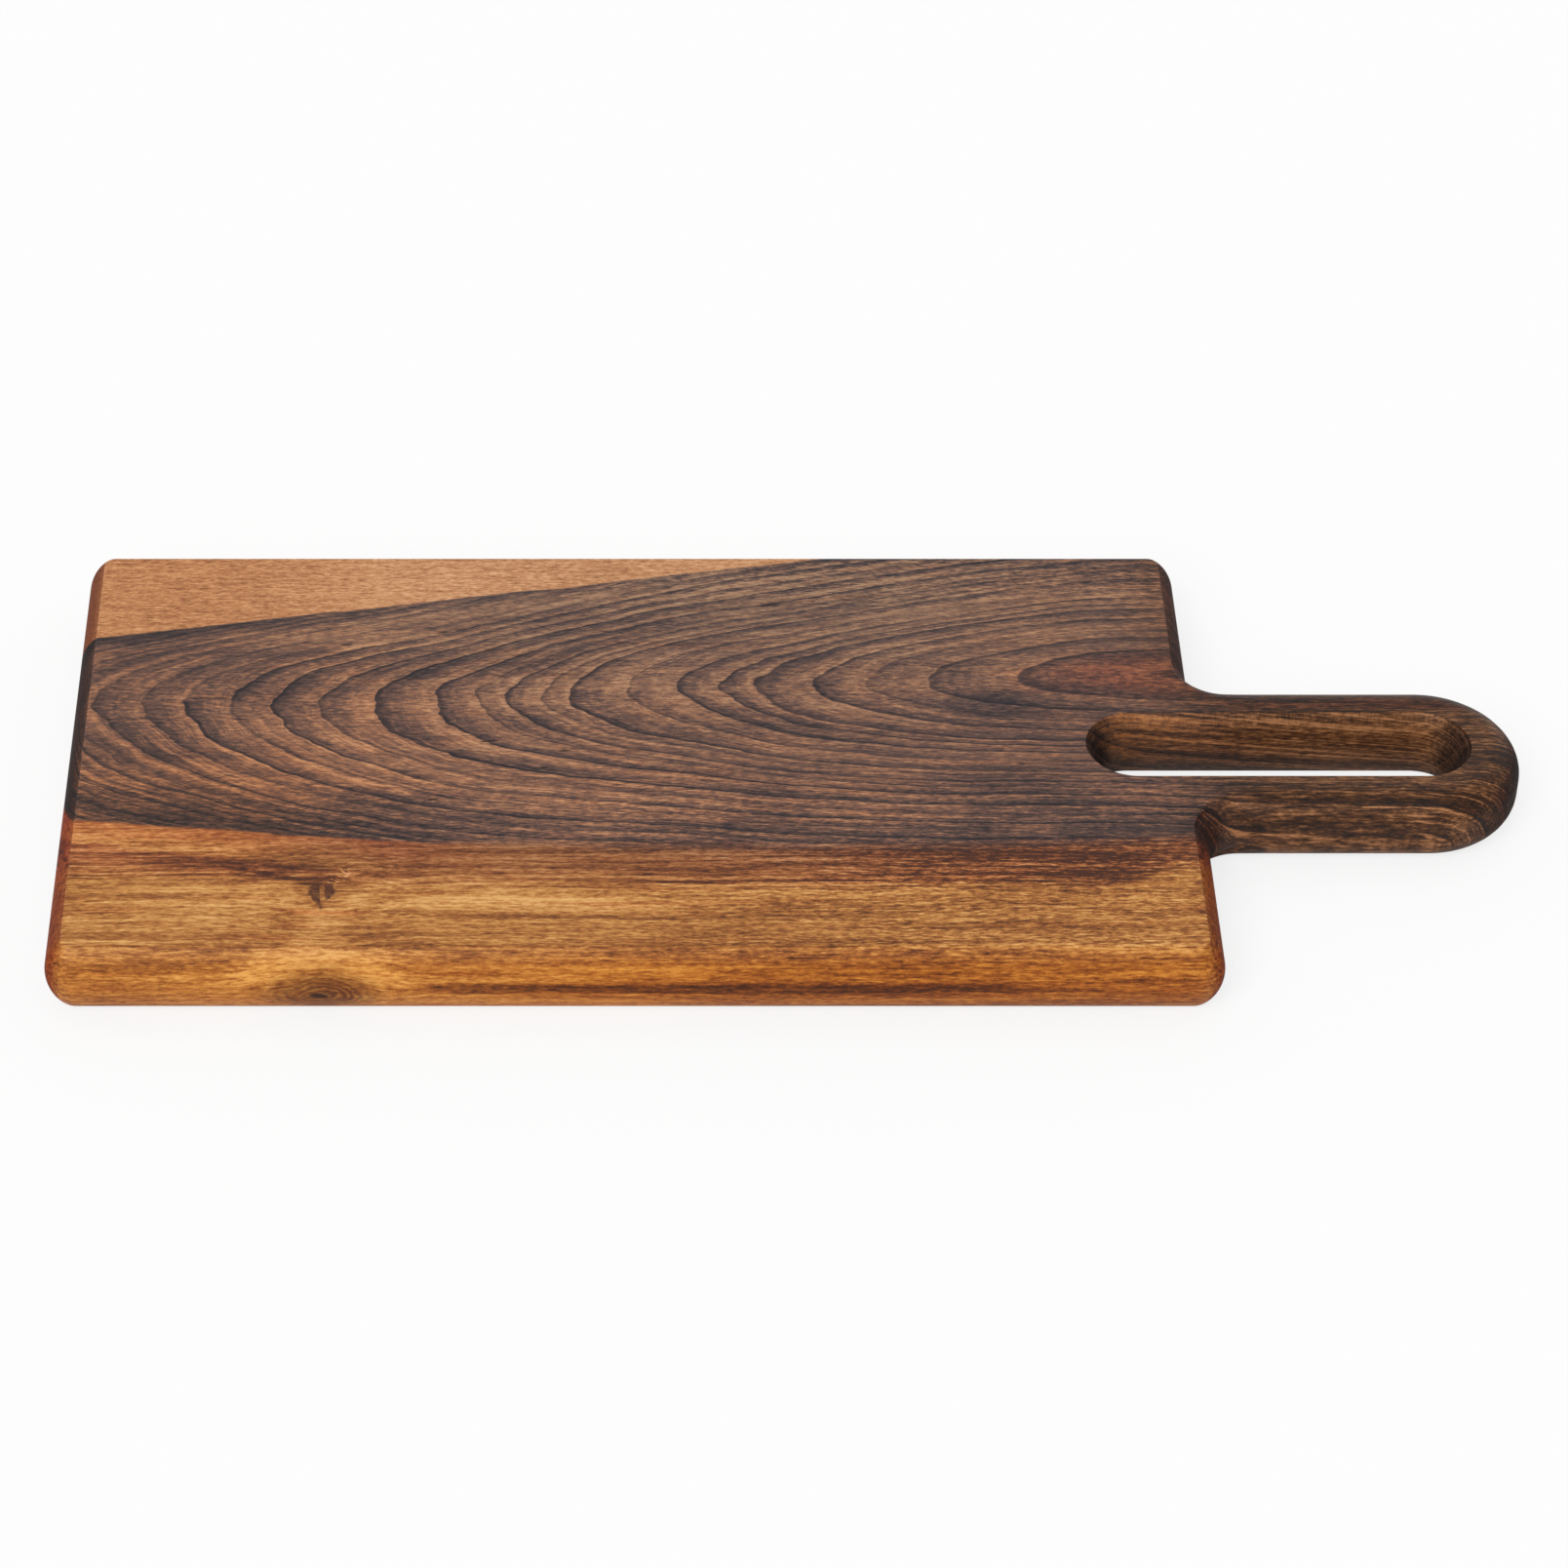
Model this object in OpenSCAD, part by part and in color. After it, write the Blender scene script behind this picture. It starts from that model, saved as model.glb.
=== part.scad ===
// Steak board with a slotted handle, cut from one plank of walnut.
// The board lies flat. X runs along the grain towards the handle, Y runs across the board, Z is up.
// The origin is under the middle of the board's bounding box, on its bottom face.
// Every outside edge of the body is a shallow arc that bulges at mid-thickness and meets both faces
// at a soft crease. The handle is rounded over more fully, for the hand.

/* [Body] */
// Length of the body along the grain, without the handle
body_len = 300; // [240:1:360]
// Width of the body across the grain
body_w = 170; // [130:1:220]
// Thickness of the plank
plank_t = 20.5; // [17:0.5:26]
// Radius of the body's four corners, seen from above, at the widest height
corner_r = 7.5; // [6:0.5:20]
// How far the bulging edge draws in where it meets each face
edge_inset = 4.7; // [2:0.1:5.5]

/* [Handle] */
// Length of the handle from the body's shoulder to the tip
handle_len = 85; // [75:1:110]
// Width of the handle
handle_w = 51.5; // [46:0.5:70]
// Radius rounded over along both long edges and the tip of the handle
handle_round = 8; // [5:0.5:8]
// Radius of the inside corners where the handle leaves the shoulder
root_r = 9; // [6:0.5:18]

/* [Finger slot] */
// Length of the slot at the faces
slot_len = 102; // [60:1:120]
// Width of the slot at the faces
slot_w = 26.5; // [22:0.5:30]
// How far the slot's walls bulge into it at mid-thickness
slot_bulge = 3; // [1:0.1:4]
// Wood left between the slot and the tip of the handle, at the faces
tip_wood = 13.25; // [11:0.25:24]

/* [Hidden] */
$fn = 96;
// Overrun that carries a cut clear of the faces
cut_over = 1;
left_x = -(body_len + handle_len) / 2;
shoulder_x = left_x + body_len;
tip_x = shoulder_x + handle_len;
handle_end_x = tip_x - handle_w / 2;
slot_end_r = slot_w / 2;
slot_tip_centre_x = tip_x - tip_wood - slot_end_r;
slot_body_centre_x = slot_tip_centre_x - (slot_len - slot_w);

// Radius of an arc that spans the plank's thickness and rises by the given sagitta
function arc_r(sagitta) = (sagitta * sagitta + plank_t * plank_t / 4) / (2 * sagitta);

// Half section that reaches from the axis out to the given width and ends in the bulging edge
module bulged_half(reach) {
    edge_r = arc_r(edge_inset);
    if (reach > edge_r)
        square([reach - edge_r, plank_t]);
    intersection() {
        square([reach + cut_over, plank_t]);
        translate([reach - edge_r, plank_t / 2])
            circle(edge_r);
    }
}

// Half section that reaches from the axis out to the given width, with both edges rounded over
module rounded_half(reach) {
    square([reach - handle_round, plank_t]);
    translate([0, handle_round])
        square([reach, plank_t - 2 * handle_round]);
    for (height = [handle_round, plank_t - handle_round])
        translate([reach - handle_round, height])
            circle(handle_round);
}

// Half section of a cut whose wall bulges into it by the given sagitta
module waisted_half(reach, sagitta) {
    wall_r = arc_r(sagitta);
    difference() {
        translate([0, -cut_over])
            square([reach + cut_over, plank_t + 2 * cut_over]);
        translate([reach - sagitta + wall_r, plank_t / 2])
            circle(wall_r);
    }
}

// Carries a half section and its mirror image along X between two places
module run_x(from_x, to_x) {
    for (side = [0, 1])
        mirror([0, side, 0])
            translate([from_x, 0, 0])
                rotate([90, 0, 90])
                    linear_extrude(to_x - from_x)
                        children();
}

// Carries a half section along Y on the given side of a place on X
module run_y(at_x, turn, length) {
    translate([at_x, 0, 0])
        rotate([90, 0, turn])
            linear_extrude(length, center = true)
                children();
}

// Turns a half section about a vertical axis, starting at the given angle
module turn_z(at_x, at_y, start, sweep) {
    translate([at_x, at_y, 0])
        rotate([0, 0, start])
            rotate_extrude(angle = sweep)
                children();
}

// The rectangular body with bulging edges and rounded corners
module body() {
    near_x = left_x + corner_r;
    far_x = shoulder_x - corner_r;
    corner_y = body_w / 2 - corner_r;
    run_x(near_x, far_x)
        bulged_half(body_w / 2);
    run_y(near_x, 180, 2 * corner_y)
        bulged_half(corner_r);
    run_y(far_x, 0, 2 * corner_y)
        bulged_half(corner_r);
    turn_z(far_x, corner_y, 0, 90)
        bulged_half(corner_r);
    turn_z(near_x, corner_y, 90, 90)
        bulged_half(corner_r);
    turn_z(near_x, -corner_y, 180, 90)
        bulged_half(corner_r);
    turn_z(far_x, -corner_y, 270, 90)
        bulged_half(corner_r);
}

// The handle, rounded over, with a half round tip
module handle() {
    run_x(shoulder_x - corner_r, handle_end_x)
        rounded_half(handle_w / 2);
    turn_z(handle_end_x, 0, -90, 180)
        rounded_half(handle_w / 2);
}

// The wood that fills both inside corners between shoulder and handle, cut to a concave round
module roots() {
    for (side = [0, 1])
        mirror([0, side, 0])
            difference() {
                translate([shoulder_x - corner_r, handle_w / 2 - handle_round, 0])
                    cube([corner_r + root_r, handle_round + root_r, plank_t]);
                translate([shoulder_x + root_r, handle_w / 2 + root_r, 0])
                    rotate_extrude()
                        waisted_half(root_r + edge_inset, edge_inset);
            }
}

// The cut of the finger slot, with waisted walls and half round ends
module finger_slot() {
    run_x(slot_body_centre_x, slot_tip_centre_x)
        waisted_half(slot_end_r, slot_bulge);
    turn_z(slot_tip_centre_x, 0, -90, 180)
        waisted_half(slot_end_r, slot_bulge);
    turn_z(slot_body_centre_x, 0, 90, 180)
        waisted_half(slot_end_r, slot_bulge);
}

module board() {
    color("#6e4a33")
        difference() {
            union() {
                body();
                handle();
                roots();
            }
            finger_slot();
        }
}

board();
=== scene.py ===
# %% [markdown]
# A steak board with a slotted handle, cut from one plank of walnut.
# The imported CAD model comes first. It is the fixed frame that everything below is built in:
# metres, X along the grain towards the handle, Y across the board, Z up, the underside at z = 0.

# %% Load the frame
import math

import bpy
import numpy as np
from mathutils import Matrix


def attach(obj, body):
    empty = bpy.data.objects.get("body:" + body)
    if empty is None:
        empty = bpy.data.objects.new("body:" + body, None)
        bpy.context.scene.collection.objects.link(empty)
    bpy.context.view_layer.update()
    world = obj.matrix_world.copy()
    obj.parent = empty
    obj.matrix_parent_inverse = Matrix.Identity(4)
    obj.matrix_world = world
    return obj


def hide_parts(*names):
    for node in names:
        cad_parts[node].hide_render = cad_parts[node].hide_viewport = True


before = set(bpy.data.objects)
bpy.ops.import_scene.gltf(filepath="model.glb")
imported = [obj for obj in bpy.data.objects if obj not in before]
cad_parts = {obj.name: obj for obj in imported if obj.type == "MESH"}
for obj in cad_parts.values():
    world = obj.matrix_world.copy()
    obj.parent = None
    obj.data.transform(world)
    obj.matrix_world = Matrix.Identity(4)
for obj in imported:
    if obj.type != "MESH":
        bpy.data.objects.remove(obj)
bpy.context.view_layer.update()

# %% [markdown]
# Sizes of the real board, in millimetres. They repeat the values of the part's source.
# The board is a rectangle with small round corners and a handle that leaves it through two
# concave corners. A slot for the fingers runs through the handle and a little way into the body.

# %% Sizes
MM = 0.001
BODY_LEN, BODY_W, THICK = 300.0, 170.0, 20.5
CORNER_R, ROOT_R = 7.5, 9.0
HANDLE_LEN, HANDLE_W = 85.0, 51.5
SLOT_LEN, SLOT_W, TIP_WOOD = 102.0, 26.5, 13.25
LEFT_X = -(BODY_LEN + HANDLE_LEN) / 2
SHOULDER_X = LEFT_X + BODY_LEN
TIP_X = SHOULDER_X + HANDLE_LEN
HALF_W, HALF_HANDLE, SLOT_R = BODY_W / 2, HANDLE_W / 2, SLOT_W / 2
ROOT_X, HANDLE_END_X = SHOULDER_X + ROOT_R, TIP_X - HALF_HANDLE
SLOT_TIP_X = TIP_X - TIP_WOOD - SLOT_R
SLOT_BODY_X = SLOT_TIP_X - (SLOT_LEN - SLOT_W)
print("body", BODY_LEN, "x", BODY_W, "handle", HANDLE_LEN, "x", HANDLE_W, "slot", SLOT_LEN, "x", SLOT_W)

# %% [markdown]
# The photograph looks down at the board from its near long side, 40 degrees above the table.
# Its vanishing point is left of the middle of the picture, so the picture is a crop of a wider
# frame. A turned camera would lean the board's ends, so the camera looks straight along Y and
# the lens is shifted instead, just as far as the crop asks.

# %% Camera
camera_data = bpy.data.cameras.new("camera")
camera_data.sensor_width = 36.0
camera_data.lens = 116.54
camera_data.shift_x = 0.122
camera_data.clip_end = 20.0
camera = bpy.data.objects.new("camera", camera_data)
camera.location = (-53.2 * MM, -1035.465 * MM, 875.387 * MM)
camera.rotation_euler = (math.radians(50.0), 0.0, 0.0)
bpy.context.scene.collection.objects.link(camera)
bpy.context.scene.camera = camera
print("camera at", tuple(round(value, 4) for value in camera.location))

# %% [markdown]
# The edges. A cutter leaves the body's edge as a shallow bulge that meets both faces at a
# crease, and sanding takes the sharpness off the crease. The handle is rounded over much more,
# for the hand. A Bevel modifier's plain round would lose the bulge and its crease. So one formula
# gives both edges: a wide arc for the bulge and a small arc that eases it into the face. The
# slot's wall has the same form, with its own bulge.

# %% Edge profile
BULGE_STEPS, EASE_STEPS = 12, 10
BODY_BULGE, HANDLE_BULGE, SLOT_BULGE = 4.7, 0.02, 3.0
BODY_EASE, HANDLE_EASE, SLOT_EASE = 0.9, 8.0, 0.45


def edge_profile(bulge, ease):
    """How an edge is drawn in from its widest line, from the bottom face to the top face.

    A wide arc of radius R rises by the bulge b over the thickness T: R = (b^2 + T^2/4) / 2b.
    An arc of the ease radius e touches it and the face: its centre lies e under the face and
    R - e from the wide arc's centre. Returns the inset and the height of each point.
    """
    half = THICK / 2
    wide = (bulge ** 2 + half ** 2) / (2 * bulge)
    centre_inset = wide - math.sqrt((wide - ease) ** 2 - (half - ease) ** 2)
    turn = math.asin((half - ease) / (wide - ease))
    wide_turns = np.linspace(0.0, turn, BULGE_STEPS + 1)
    ease_turns = np.linspace(turn, math.pi / 2, EASE_STEPS + 1)[1:]
    inset = np.concatenate([wide * (1 - np.cos(wide_turns)), centre_inset - ease * np.cos(ease_turns)])
    rise = np.concatenate([wide * np.sin(wide_turns), half - ease + ease * np.sin(ease_turns)])
    return np.concatenate([inset[:0:-1], inset]), half + np.concatenate([-rise[:0:-1], rise])


BODY_EDGE = edge_profile(BODY_BULGE, BODY_EASE)
HANDLE_EDGE = edge_profile(HANDLE_BULGE, HANDLE_EASE)
SLOT_EDGE = edge_profile(SLOT_BULGE, SLOT_EASE)
print("points in a profile:", len(BODY_EDGE[0]), "face starts", round(BODY_EDGE[0][-1], 2), "mm in")

# %% [markdown]
# The outline. A box with a Boolean cut for the slot would give uneven faces at the corners, and
# a highlight shows them. A board with one hole has the topology of a ring, so one closed grid can
# cover it: one parameter runs round the outline, the other round the section, over the edge,
# across the top, down the slot's wall and back under. That needs, for each point of the outline,
# its partner on the slot. Both are written below as the same list of lines and arcs, so the
# grid's lines fan out from the slot without crossing. Only half is listed, the rest is mirrored.

# %% Lines and arcs


def line(start, end, count):
    """Points from start up to but not including end: p = a + t (b - a)."""
    t = np.arange(count)[:, None] / count
    return np.asarray(start) + t * (np.asarray(end) - np.asarray(start))


def arc(centre, radius, start, end, count):
    """Points on a circle from the start to the end angle in degrees: c + r (cos a, sin a)."""
    a = np.radians(start + (end - start) * np.arange(count) / count)
    return np.asarray(centre) + radius * np.stack([np.cos(a), np.sin(a)], axis=1)


def heading(start, end, count):
    """Outward directions that turn evenly from one angle in degrees to another: (cos a, sin a)."""
    return arc((0.0, 0.0), 1.0, start, end, count)


print("a line's points:", line((0.0, 0.0), (3.0, 0.0), 3).tolist())

# %% Outline, from the handle's tip to the middle of the left end
TIP, SIDE, ROOT, SHOULDER, CORNER, LONG, END = 44, 26, 22, 14, 18, 44, 20
corner_y = HALF_W - CORNER_R
left_corner, right_corner = (LEFT_X + CORNER_R, corner_y), (SHOULDER_X - CORNER_R, corner_y)
root_centre = (ROOT_X, HALF_HANDLE + ROOT_R)
outer_half = np.concatenate([
    arc((HANDLE_END_X, 0.0), HALF_HANDLE, 0, 90, TIP),
    line((HANDLE_END_X, HALF_HANDLE), (ROOT_X, HALF_HANDLE), SIDE),
    arc(root_centre, ROOT_R, 270, 180, ROOT),
    line((SHOULDER_X, root_centre[1]), (SHOULDER_X, corner_y), SHOULDER),
    arc(right_corner, CORNER_R, 0, 90, CORNER),
    line((right_corner[0], HALF_W), (left_corner[0], HALF_W), LONG),
    arc(left_corner, CORNER_R, 90, 180, CORNER),
    line((LEFT_X, corner_y), (LEFT_X, 0.0), END),
    [(LEFT_X, 0.0)],
])
outward_half = np.concatenate([
    heading(0, 90, TIP), heading(90, 90, SIDE), heading(90, 0, ROOT), heading(0, 0, SHOULDER),
    heading(0, 90, CORNER), heading(90, 90, LONG), heading(90, 180, CORNER), heading(180, 180, END),
    [(-1.0, 0.0)],
])
print("points on half the outline:", len(outer_half))

# %% [markdown]
# The slot gets as many points as the outline. Its straight side is the partner of the handle's
# side, the concave corner, the shoulder and the right corner, and of a quarter of the long edge.
# Its half round end in the body takes the rest of the long edge, the left corner and the left end.

# %% Slot, point for point with the outline
MARKS_BEFORE_SHOULDER = (9.0, 12.5, 14.5)
CORNER_FAN = (132, 138)
LONG_ON_SIDE = LONG // 4
LONG_ON_ARC = LONG - LONG_ON_SIDE
slot_marks = [SLOT_TIP_X, ROOT_X] + [SHOULDER_X - back for back in MARKS_BEFORE_SHOULDER] + [SLOT_BODY_X]
slot_counts = [SIDE, ROOT, SHOULDER, CORNER, LONG_ON_SIDE]
slot_turns = [(90, CORNER_FAN[0], LONG_ON_ARC), (*CORNER_FAN, CORNER), (CORNER_FAN[1], 180, END)]
slot_half = np.concatenate(
    [arc((SLOT_TIP_X, 0.0), SLOT_R, 0, 90, TIP)]
    + [line((a, SLOT_R), (b, SLOT_R), n) for a, b, n in zip(slot_marks, slot_marks[1:], slot_counts)]
    + [arc((SLOT_BODY_X, 0.0), SLOT_R, *turn) for turn in slot_turns]
    + [[(SLOT_BODY_X - SLOT_R, 0.0)]])
slot_outward_half = np.concatenate(
    [heading(0, 90, TIP), heading(90, 90, sum(slot_counts))]
    + [heading(*turn) for turn in slot_turns] + [[(-1.0, 0.0)]])


def mirrored(half):
    """The half list, then its mirror image in Y without the two end points."""
    return np.concatenate([half, half[-2:0:-1] * (1.0, -1.0)])


outer, outward = mirrored(outer_half), mirrored(outward_half)
slot, slot_outward = mirrored(slot_half), mirrored(slot_outward_half)
print("points round the outline:", len(outer), "and round the slot:", len(slot))

# %% [markdown]
# The surface. The body's crease dies out in the concave corner and the handle's full rounding
# takes over there, as a hand sander leaves it. So each point of the outline gets a share of the
# handle's profile, and the share rises smoothly through the corner.

# %% The board's surface
FACE_STEPS = 9
# The share starts a part of its length before the shoulder and ends so many mm past the corner
BLEND_START, BLEND_PAST_ROOT = -0.15, 6.0
# The first and last strips of a face are narrow, so that its shading stays flat up to the edge
FACE_EASE = 0.4


def smooth(low, high, value):
    """0 below low, 1 above high, and 3t^2 - 2t^3 between them."""
    t = np.clip((value - low) / (high - low), 0.0, 1.0)
    return t * t * (3 - 2 * t)


def across(start, end, steps):
    """Points across a face from start to end, ends left out, with a narrow strip at each end.

    p = a + s (b - a), where s = e + (1 - 2e) t, t runs evenly from 0 to 1 and e is the strip's
    share of the way.
    """
    span = np.linalg.norm(end - start, axis=-1)[:, None, None]
    ease = FACE_EASE / span
    t = np.linspace(0.0, 1.0, steps)[None, :, None]
    t = ease + (1 - 2 * ease) * t
    return start[:, None, :] + t * (end - start)[:, None, :]


def board_surface():
    """Grid of points: outline by section.

    Outer edge: P(u) - inset(v) N(u) at the height z(v), for the blend of the two profiles.
    Slot wall: Q(u) - bulge M(u) + inset(v) M(u). Faces: straight lines between the two.
    """
    share = smooth(BLEND_START, 1.0, (outer[:, 0] - SHOULDER_X) / (ROOT_R + BLEND_PAST_ROOT))
    share = np.where(np.abs(outer[:, 1]) < root_centre[1] + 1e-6, share, 0.0)[:, None]
    inset = (1 - share) * BODY_EDGE[0] + share * HANDLE_EDGE[0]
    height = (1 - share) * BODY_EDGE[1] + share * HANDLE_EDGE[1]
    place = outer[:, None, :] - inset[:, :, None] * outward[:, None, :]
    edge = np.concatenate([place, height[:, :, None]], axis=2)
    wall_inset = SLOT_EDGE[0] - SLOT_BULGE
    place = slot[:, None, :] + wall_inset[None, :, None] * slot_outward[:, None, :]
    height = np.broadcast_to(SLOT_EDGE[1], (len(slot), len(SLOT_EDGE[1])))
    wall = np.concatenate([place, height[:, :, None]], axis=2)[:, ::-1]
    top = across(edge[:, -1], wall[:, 0], FACE_STEPS)
    under = across(wall[:, -1], edge[:, 0], FACE_STEPS)
    return np.concatenate([edge, top, wall, under], axis=1)


def closed_grid(name, points):
    """A mesh over a grid that closes on itself in both directions, one quad a cell."""
    rows, columns = points.shape[:2]
    row, column = np.meshgrid(np.arange(rows), np.arange(columns), indexing="ij")
    next_row, next_column = (row + 1) % rows, (column + 1) % columns
    quads = np.stack([row * columns + column, next_row * columns + column,
                      next_row * columns + next_column, row * columns + next_column], axis=-1)
    mesh = bpy.data.meshes.new(name)
    mesh.vertices.add(rows * columns)
    mesh.vertices.foreach_set("co", (points * MM).astype(np.float32).ravel())
    mesh.loops.add(quads.size)
    mesh.loops.foreach_set("vertex_index", quads.astype(np.int32).ravel())
    mesh.polygons.add(rows * columns)
    mesh.polygons.foreach_set("loop_start", np.arange(0, quads.size, 4, dtype=np.int32))
    mesh.update(calc_edges=True)
    mesh.validate()
    mesh.polygons.foreach_set("use_smooth", np.ones(rows * columns, dtype=bool))
    return mesh


def enclosed_volume(mesh):
    """Sum over the triangles of a . (b x c) / 6, which is positive where faces point outwards."""
    mesh.calc_loop_triangles()
    corners = np.empty(3 * len(mesh.loop_triangles), dtype=np.int32)
    mesh.loop_triangles.foreach_get("vertices", corners)
    points = np.empty(3 * len(mesh.vertices), dtype=np.float32)
    mesh.vertices.foreach_get("co", points)
    a, b, c = points.reshape(-1, 3)[corners.reshape(-1, 3)].astype(float).transpose(1, 0, 2)
    return float(np.sum(a * np.cross(b, c)) / 6)


surface = board_surface()
board_mesh = closed_grid("walnut_board", surface)
print("faces:", len(board_mesh.polygons), "volume in cm3:", round(enclosed_volume(board_mesh) * 1e6, 1))

# %% [markdown]
# Two things that the finish asks of the surface. Where it cuts across the fibres the wood soaks up
# more oil and looks much darker, so how far it faces along X is kept on the mesh. How upright it
# stands is kept too, because the edges and the slot's wall show the rings from another side, and
# because the body's upright faces get painted light: they are tinted warmer than the top.

# %% Attributes for the finish
normals = np.empty(3 * len(board_mesh.vertices), dtype=np.float32)
board_mesh.vertices.foreach_get("normal", normals)
normals = np.abs(normals.reshape(-1, 3))
for name, facing in [("end_grain", normals[:, 0]), ("upright", 1 - normals[:, 2])]:
    attribute = board_mesh.attributes.new(name, "FLOAT", "POINT")
    attribute.data.foreach_set("value", facing.astype(np.float32))
    print(name, "from", round(float(facing.min()), 3), "to", round(float(facing.max()), 3))
board = bpy.data.objects.new("walnut_board", board_mesh)
bpy.context.scene.collection.objects.link(board)
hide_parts("board")
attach(board, "root")

# %% [markdown]
# Shader maths. A wood figure is a formula, and a formula reads best as one. The class below
# wraps a socket, so that r = (x * x + y * y).root() adds the Math nodes that it says.

# %% Node helper


class Socket:
    """A socket of a material's node tree, with arithmetic that adds Math nodes."""

    def __init__(self, tree, link):
        self.tree, self.link = tree, link

    def node(self, kind, settings=None, output=0, **values):
        """A new node: settings first, then each input's value or link, then one of its outputs."""
        made = self.tree.nodes.new(kind)
        for key, value in (settings or {}).items():
            setattr(made, key, value)
        for key, value in values.items():
            wanted = int(key[1:]) if key[0] == "_" else key.replace("_", " ")
            target = made.inputs[wanted]
            if isinstance(value, Socket):
                self.tree.links.new(value.link, target)
            else:
                target.default_value = value
        return None if output is None else Socket(self.tree, made.outputs[output])

    def maths(self, operation, first, second=0.0):
        return self.node("ShaderNodeMath", {"operation": operation}, _0=first, _1=second)

    def __add__(self, other):
        return self.maths("ADD", self, other)

    def __sub__(self, other):
        return self.maths("SUBTRACT", self, other)

    def __mul__(self, other):
        return self.maths("MULTIPLY", self, other)

    def __pow__(self, other):
        return self.maths("POWER", self, other)

    def __rsub__(self, other):
        return self.maths("SUBTRACT", other, self)

    __radd__, __rmul__ = __add__, __mul__

    def root(self):
        return self.maths("SQRT", self)

    def size(self):
        return self.maths("ABSOLUTE", self)

    def fraction(self):
        return self.maths("FRACT", self)

    def least(self, other):
        return self.maths("MINIMUM", self, other)

    def most(self, other):
        return self.maths("MAXIMUM", self, other)

    def rise(self, low, high, start=0.0, end=1.0):
        """Smooth step from start at low to end at high, by 3t^2 - 2t^3 of the way t between them."""
        return self.node("ShaderNodeMapRange", {"interpolation_type": "SMOOTHSTEP"},
                         _0=self, _1=low, _2=high, _3=start, _4=end)

    def fall(self, low, high):
        """Smooth step from 1 at low to 0 at high."""
        return self.rise(low, high, 1.0, 0.0)

    def parts(self, kind):
        """The three outputs of a node of this kind, which takes this socket's value apart."""
        outputs = self.node(kind, None, 0, _0=self).link.node.outputs
        return [Socket(self.tree, output) for output in outputs[:3]]

    def mixed(self, first, second):
        """This socket's share of the second colour in the first: a + share (b - a)."""
        return self.node("ShaderNodeMix", {"data_type": "RGBA"}, 2, _0=self, _6=first, _7=second)


def colour(red, green, blue):
    """A display colour from 0 to 255 as the linear light that Blender works in.

    With c from 0 to 1 it is ((c + 0.055) / 1.055)^2.4, and c / 12.92 near black.
    """
    scaled = np.array([red, green, blue]) / 255
    linear = np.where(scaled <= 0.04045, scaled / 12.92, ((scaled + 0.055) / 1.055) ** 2.4)
    return (*linear.tolist(), 1.0)


walnut = bpy.data.materials.new("oiled_walnut")
walnut.use_nodes = True
walnut_tree = walnut.node_tree
walnut_tree.nodes.clear()
start = Socket(walnut_tree, None)
print("material:", walnut.name)

# %% [markdown]
# Places in the wood. A picture of wood laid on the top would smear down the edges. So everything
# reads Object coordinates in millimetres, and the figure runs through the solid: lines on the top
# carry on over the edges and down the slot's wall.

# %% Coordinates and noise
place = start.node("ShaderNodeTexCoord", None, "Object")
x, y, z = [part * (1 / MM) for part in place.parts("ShaderNodeSeparateXYZ")]
depth = THICK - z
end_on = start.node("ShaderNodeAttribute", {"attribute_name": "end_grain"}, "Fac").rise(0.3, 0.85)
upright = start.node("ShaderNodeAttribute", {"attribute_name": "upright"}, "Fac").rise(0.05, 0.6)


def at(first, second, third):
    """A place to read noise at."""
    return start.node("ShaderNodeCombineXYZ", None, 0, _0=first, _1=second, _2=third)


def noise_at(spot, detail=2.0, roughness=0.5):
    """Soft noise, mostly from -1 to 1, that changes over a length of about 1 of the given place.

    It is 3.4 n - 1.7, where the texture's value n runs from 0 to 1 and is mostly near 0.5.
    """
    value = start.node("ShaderNodeTexNoise", None, 0, Vector=spot, Scale=1.0, Detail=detail,
                       Roughness=roughness)
    return value * 3.4 - 1.7


def noise(length, width, detail=2.0, roughness=0.5, offset=0.0, wide=None):
    """Soft noise whose spots are so long along the grain and so wide across it, in mm.

    It is read at (x / length + offset, y / width, z / width), and where a pair is given as wide,
    that pair takes the place of y and z.
    """
    across_y, across_z = (y, z) if wide is None else wide
    spot = at(x * (1 / length) + offset, across_y * (1 / width), across_z * (1 / width))
    return noise_at(spot, detail, roughness)


print("noise and coordinates ready")

# %% [markdown]
# A knot. A small branch once left the trunk here: it starts at a dark eye on the top face and
# runs down and outwards to a larger swirl on the long edge. Two painted marks wouldn't agree
# with each other, so its axis is a straight line in the solid, and the fibres part round it. The
# second pair of coordinates below is the first, pushed away from that line, and everything that
# flows with the fibres reads it.

# %% Knot
KNOT_X, KNOT_Y, KNOT_Z = -122.5, -60.0, 20.5
KNOT_FALL = math.atan2(13.0, 25.0)
KNOT_PUSH = 4.6
knot_cos, knot_sin = math.cos(KNOT_FALL), math.sin(KNOT_FALL)
knot_dx = (x - KNOT_X).size()
knot_w = (y - KNOT_Y) * knot_sin - (z - KNOT_Z) * knot_cos
knot_along = (KNOT_Y - y) * knot_cos + (KNOT_Z - z) * knot_sin
knot_rough = noise(4.0, 2.2, 2.0, 0.6, offset=31.0)
# Distance from the branch's axis, drawn out along the grain: sqrt(0.2 dx^2 + w^2), made uneven
knot_r = (knot_dx * knot_dx * 0.2 + knot_w * knot_w).root() + knot_rough * 0.45
parting = knot_dx.fall(2.0, 26.0) * knot_w.size().fall(2.0, 13.0)
push = parting * KNOT_PUSH * (knot_w * ((knot_w.size() + 1.2) ** -1))
drift = noise(75.0, 26.0, 2.0, 0.5, offset=71.0)
around_y = y - push * knot_sin + drift * 1.5
around_z = z + push * knot_cos
around = (around_y, around_z)
print("knot leaves the top at", KNOT_X, KNOT_Y)

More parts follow.
